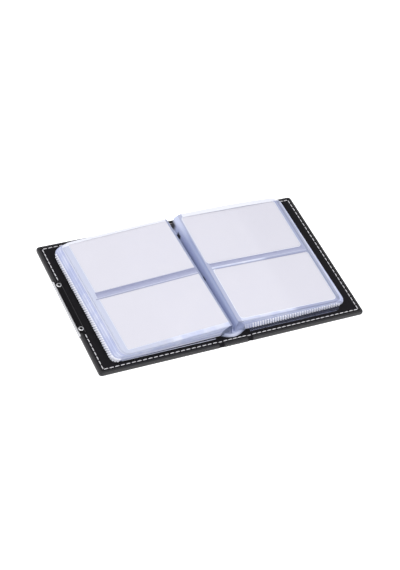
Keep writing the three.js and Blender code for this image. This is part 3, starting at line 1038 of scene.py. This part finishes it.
def makeApron():
    grid = []
    rows, columns = apron["rows"], apron["columns"]
    for r in range(rows + 1):
        share = r / rows
        z = apron["low"] + (apron["high"] - apron["low"]) * share ** 0.8
        halfWidth = apron["halfWidth"] - apron["narrowing"] * share ** 1.5
        row = []
        for c in range(columns + 1):
            x = halfWidth * (2 * c / columns - 1)
            foot = pages["blockShift"] + gutter["foot"] - apron["clearance"]
            row.append((x, foot - tongueReach(x, z) + apron["turnIn"] * share ** 3.5, z))
        grid.append(row)
    points, faces = [], []
    sheet(grid, apron["thickness"], points, faces)
    sheet(gussetGrid(), apron["thickness"], points, faces)
    piece = makePiece("gutterApron", points, faces, gutterFilm)
    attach(piece, "spine")

for name, half in halves.items():
    makeGutter(name, half)
makeApron()
print("gutter films bent")


# The top leaf of each half, with puffed pockets and pressed welds

topLeaf = {
    "weldTop": 0.50,
    "weldFoot": 0.22,
    "pocketTop": 0.66,
    "pocketFoot": 0.08,
    "crown": 0.06,
    "crownFrom": 1.4,
    "crownWidth": 93.0,
    "baseTop": 0.24,
    "ramp": 0.7,
    "grooves": (96.0, 95.6),
    "footGroove": -61.2,
    "grooveDepth": 0.09,
    "grooveHalfWidth": 0.45,
    "curlFrom": 54.0,
    "uLines": (
        0, 0.25, 0.5, 0.8, 1.1, 1.4, 1.75, 2.1, 2.6, 4, 8, 14, 22, 32, 42, 52, 62, 72, 80, 86, 89.5,
        92.2, 93.2, 93.8, 94.15, 94.5, 94.75, 95.0, 95.25, 95.5, 95.75, 96.0, 96.25, 96.5, 96.7,
    ),
    "vLines": (
        -62.2, -61.85, -61.5, -61.2, -60.9, -60.5, -60.1, -59.7, -59.35, -59.0, -58.5, -57, -52, -44,
        -34, -24, -14, -8, -5, -4, -3.2, -2.4, -1.8, -1.5, -1.47, -1.0, -0.4, 0.4, 1.2, 1.9, 2.3, 2.5,
        2.8, 3.1, 3.45, 3.8, 4.3, 6, 10, 18, 28, 38, 48, 56, 60, 61.6, 62.2,
    ),
}

def cornered(u, v):
    length, halfHeight = pages["length"], pages["halfHeight"]
    fore, inner = pages["foreRadius"], pages["innerRadius"]
    for radius, centre, sign in ((fore, length - fore, 1), (inner, inner, -1)):
        a = (u - centre) * sign / radius
        b = (abs(v) - halfHeight + radius) / radius
        if a > 0 and b > 0:
            scale = max(a, b) / math.hypot(a, b)
            u = centre + sign * radius * a * scale
            v = math.copysign(halfHeight - radius + radius * b * scale, v)
    return u, v

def within(value, low, high, ramp):
    return eased((value - low) / ramp) * eased((high - value) / ramp)

def leafHeights(u, v, curl):
    weld, ramp = topLeaf["weldTop"], topLeaf["ramp"]
    across = within(u, pages["pocketNear"], pages["pocketFar"], ramp)
    low = eased((v - pages["lowerFoot"]) / ramp) if v <= pages["mouth"][0] else 0
    high = eased((v - pages["upperFoot"]) / ramp)
    pocket = across * max(low, high)
    share = min(1, max(0, (u - topLeaf["crownFrom"]) / topLeaf["crownWidth"]))
    puffed = topLeaf["pocketTop"] + topLeaf["crown"] * math.sin(math.pi * share) ** 0.5
    top = weld + (puffed - weld) * pocket
    foot = topLeaf["weldFoot"] + (topLeaf["pocketFoot"] - topLeaf["weldFoot"]) * pocket
    if pages["mouth"][0] < v < pages["mouth"][1] and across > 0:
        top = topLeaf["baseTop"] + (weld - topLeaf["baseTop"]) * (1 - across)
    away = [abs(u - line) for line in topLeaf["grooves"]] + [abs(v - topLeaf["footGroove"])]
    for distance in away:
        top -= topLeaf["grooveDepth"] * max(0.0, 1 - distance / topLeaf["grooveHalfWidth"])
    rising = max(0.0, (v - topLeaf["curlFrom"]) / (pages["halfHeight"] - topLeaf["curlFrom"]))
    top += curl * rising ** 2 * math.sin(math.pi * u / pages["length"]) ** 0.7
    return top, foot

def makeTopLeaf(name, half, finish):
    index = half["leaves"] - 1
    place = leafPlace(half, index)
    upper, lower = [], []
    for v in topLeaf["vLines"]:
        over, under = [], []
        for u in topLeaf["uLines"]:
            top, foot = leafHeights(u, v, half["curl"])
            cu, cv = cornered(u, v)
            over.append(place @ Vector((half["side"] * cu, cv, top)))
            under.append(place @ Vector((half["side"] * cu, cv, foot)))
        upper.append(over)
        lower.append(under)
    points, faces = [], []
    shell(upper, lower, points, faces)
    piece = makePiece(name + "TopLeaf", points, faces, finish, sharpAngle=55)
    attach(piece, name + "_turning_leaf")
    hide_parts("%s_leaf_%02d" % (name, half["leaves"]))

for name, half in halves.items():
    makeTopLeaf(name, half, topFilms[name])
print("top leaves welded")


# The ribbed rims of the lower leaves, which stand out as a comb

comb = {
    "leaves": 6,
    "foreReach": 0.95,
    "footReach": 1.0,
    "spread": 0.12,
    "startReach": 0.3,
    "growLength": 45.0,
    "foreShares": (0.85, 0.60),
    "footShares": (0.62, 0.42),
    "root": -0.1,
    "tipTaper": 0.06,
    "low": 0.08,
    "high": 0.44,
    "seed": 11,
}

# Places along a leaf's foot with their outward directions, level with those of the other leaves
def footPlaces(place, side):
    corner = place @ Vector((0, -pages["halfHeight"], 0))
    u = ribbing["footStart"] - (abs(corner.x) + ribbing["footLean"] * corner.z) % ribbing["pitch"]
    places = []
    while u < pages["length"] - pages["foreRadius"]:
        places.append((u, -pages["halfHeight"], 0.0, -1.0))
        u += ribbing["pitch"]
    return places

# The same round the front corner and along the fore edge
def forePlaces(place, side):
    length, halfHeight, radius = pages["length"], pages["halfHeight"], pages["foreRadius"]
    places = []
    for k in range(1, 5):
        t = k / 5
        a, b = 2 * t * (1 - t) + t * t, (1 - t) ** 2 + 2 * t * (1 - t)
        slope = math.atan2(t, 1 - t)
        spot = (length - radius + radius * a, -halfHeight + radius * (1 - b))
        places.append((*spot, math.sin(slope), -math.cos(slope)))
    corner = place @ Vector((side * length, 0, 0))
    v = ribbing["foreStart"] - (corner.y + ribbing["foreLean"] * corner.z) % ribbing["pitch"]
    while v < halfHeight - radius:
        places.append((length, v, 1.0, 0.0))
        v += ribbing["pitch"]
    return places

boxFaces = ((0, 1, 5, 4), (1, 2, 6, 5), (2, 3, 7, 6), (3, 0, 4, 7), (3, 2, 1, 0), (4, 5, 6, 7))

def makeComb(name, half, rimPlaces, length, shares):
    draw = random.Random(comb["seed"])
    points, faces = [], []
    for index in range(comb["leaves"]):
        place = leafPlace(half, index)
        for u, v, outU, outV in rimPlaces(place, half["side"]):
            grown = min(1.0, comb["startReach"] + u / comb["growLength"])
            reach = length * grown + comb["spread"] * draw.uniform(-1, 1)
            first = len(points)
            ends = ((comb["root"], shares[0], 0.0), (reach, shares[1], comb["tipTaper"]))
            for along, share, lift in ends:
                for sideways, height in ((-1, 0), (1, 0), (1, 1), (-1, 1)):
                    offset = sideways * ribbing["pitch"] * share / 2
                    level = comb["low"] + lift + (comb["high"] - comb["low"] - 2 * lift) * height
                    spot = (u + outU * along - outV * offset, v + outV * along + outU * offset)
                    points.append(place @ Vector((half["side"] * spot[0], spot[1], level)))
            for corners in boxFaces:
                faces.append(tuple(first + corner for corner in corners))
    piece = makePiece(name + "Comb", points, faces, combFilm, sharpAngle=30)
    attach(piece, name + "_pages")

makeComb("left", halves["left"], forePlaces, comb["foreReach"], comb["foreShares"])
makeComb("right", halves["right"], footPlaces, comb["footReach"], comb["footShares"])
print("rims ribbed")


# Blank cards in the pockets that show once the top leaves are turned

def makeInserts(name, half):
    place = leafPlace(half, half["leaves"] - 2)
    cells = insert["cells"]
    levels = [insert["level"] + share * insert["thickness"] for share in (0.5, -0.5)]
    points, faces = [], []
    for sign in (1, -1):
        upper, lower = [], []
        for r in range(cells + 1):
            over, under = [], []
            for c in range(cells + 1):
                u = insert["standoff"] + insert["width"] * c / cells
                v = sign * (insert["gap"] + insert["height"]) / 2 + (r / cells - 0.5) * insert["height"]
                over.append(place @ Vector((half["side"] * u, v, levels[0])))
                under.append(place @ Vector((half["side"] * u, v, levels[1])))
            upper.append(over)
            lower.append(under)
        shell(upper, lower, points, faces)
    piece = makePiece(name + "NextCards", points, faces, whiteCard)
    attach(piece, name + "_pages")

for name, half in halves.items():
    makeInserts(name, half)
print("inserts placed")


# Floor, light and camera

studio = {
    "floorReach": 4.0,
    "floorGlow": 0.80,
    "floorColour": (0.86, 0.86, 0.87, 1),
    "ambient": 0.55,
    "ambientColour": (0.93, 0.95, 1.0, 1),
}

# 1 for what the camera sees itself, in gloss or through film
def seenDirectly(bench):
    rays = ("Is Camera Ray", "Is Glossy Ray", "Is Transmission Ray")
    camera, glossy, through = bench.node("LightPath", {}, {}, rays)
    return camera.larger(glossy).larger(through)

def makeFloor():
    mesh = bpy.data.meshes.new("studioFloor")
    reach = studio["floorReach"]
    corners = [(-reach, -reach, 0), (reach, -reach, 0), (reach, reach, 0), (-reach, reach, 0)]
    mesh.from_pydata(corners, [], [(0, 1, 2, 3)])
    floor = bpy.data.objects.new("studioFloor", mesh)
    bpy.context.scene.collection.objects.link(floor)
    finish = Finish("paleFloor", {"Base Color": studio["floorColour"], "Roughness": 0.9})
    tree = finish.tree
    glow = finish.node("Emission", {}, {"Color": (1, 1, 1, 1), "Strength": studio["floorGlow"]})
    dim = finish.node("Emission", {}, {"Color": (1, 1, 1, 1), "Strength": 0.0})
    chosen = finish.node("MixShader", {}, {0: seenDirectly(finish), 1: dim, 2: glow})
    total = finish.node("AddShader", {}, {0: chosen, 1: Reading(finish, finish.shader.outputs[0])})
    tree.links.new(total.socket, tree.nodes["Material Output"].inputs["Surface"])
    mesh.materials.append(finish.material)

def makeWorld():
    world = bpy.data.worlds.new("studioWorld")
    bpy.context.scene.world = world
    world.use_nodes = True
    sky = Workbench(world.node_tree)
    sky.tree.nodes.remove(sky.tree.nodes["Background"])
    plain = {"Color": studio["ambientColour"], "Strength": studio["ambient"]}
    white = {"Color": (1, 1, 1, 1), "Strength": 1.0}
    dim, glow = (sky.node("Background", {}, sockets) for sockets in (plain, white))
    mixed = sky.node("MixShader", {}, {0: seenDirectly(sky), 1: dim, 2: glow})
    sky.tree.links.new(mixed.socket, sky.tree.nodes["World Output"].inputs["Surface"])

lamps = {
    "overhead": {"spot": (-0.45, -0.15, 1.3), "size": 1.2, "power": 7.8, "colour": (1.0, 0.985, 0.97)},
    "frontRight": {"spot": (0.55, -0.95, 0.75), "size": 0.8, "power": 7.0, "colour": (1.0, 1.0, 1.0)},
    "backLeft": {"spot": (-0.95, 0.75, 0.55), "size": 0.8, "power": 4.5, "colour": (0.97, 0.98, 1.0)},
}

def makeLamps():
    for name, lamp in lamps.items():
        light = bpy.data.lights.new(name, "AREA")
        light.shape = "SQUARE"
        light.size = lamp["size"]
        light.energy = lamp["power"]
        light.color = lamp["colour"]
        holder = bpy.data.objects.new(name, light)
        bpy.context.scene.collection.objects.link(holder)
        holder.location = lamp["spot"]
        holder.rotation_euler = (-Vector(lamp["spot"])).to_track_quat("-Z", "Y").to_euler()

# Where the camera stands, in millimetres and degrees
shot = {
    "azimuth": 36.128,
    "elevation": 46.156,
    "roll": 15.39,
    "distance": 1349.84,
    "sideways": -0.978,
    "upward": -4.552,
    "focalPixels": 1619.85,
    "pictureHeight": 570,
    "sensor": 36,
    "centre": (0.25, 0.0, 4.0),
}

def makeCamera():
    azimuth, elevation, roll = (math.radians(shot[key]) for key in ("azimuth", "elevation", "roll"))
    flat = math.cos(elevation)
    ahead = Vector((math.sin(azimuth) * flat, math.cos(azimuth) * flat, -math.sin(elevation)))
    level = Vector((math.cos(azimuth), -math.sin(azimuth), 0))
    above = level.cross(ahead)
    right = level * math.cos(roll) + above * math.sin(roll)
    up = above * math.cos(roll) - level * math.sin(roll)
    spot = Vector(shot["centre"]) - ahead * shot["distance"]
    spot += right * shot["sideways"] + up * shot["upward"]
    camera = bpy.data.cameras.new("productCamera")
    camera.sensor_width = shot["sensor"]
    camera.lens = shot["focalPixels"] / shot["pictureHeight"] * shot["sensor"]
    camera.clip_start = 0.05
    camera.clip_end = 20
    holder = bpy.data.objects.new("productCamera", camera)
    bpy.context.scene.collection.objects.link(holder)
    turn = Matrix((right, up, -ahead)).transposed().to_4x4()
    holder.matrix_world = Matrix.Translation(spot * mm) @ turn
    bpy.context.scene.camera = holder

makeFloor()
makeWorld()
makeLamps()
makeCamera()
bpy.context.scene.view_settings.view_transform = "Standard"
print("studio ready")
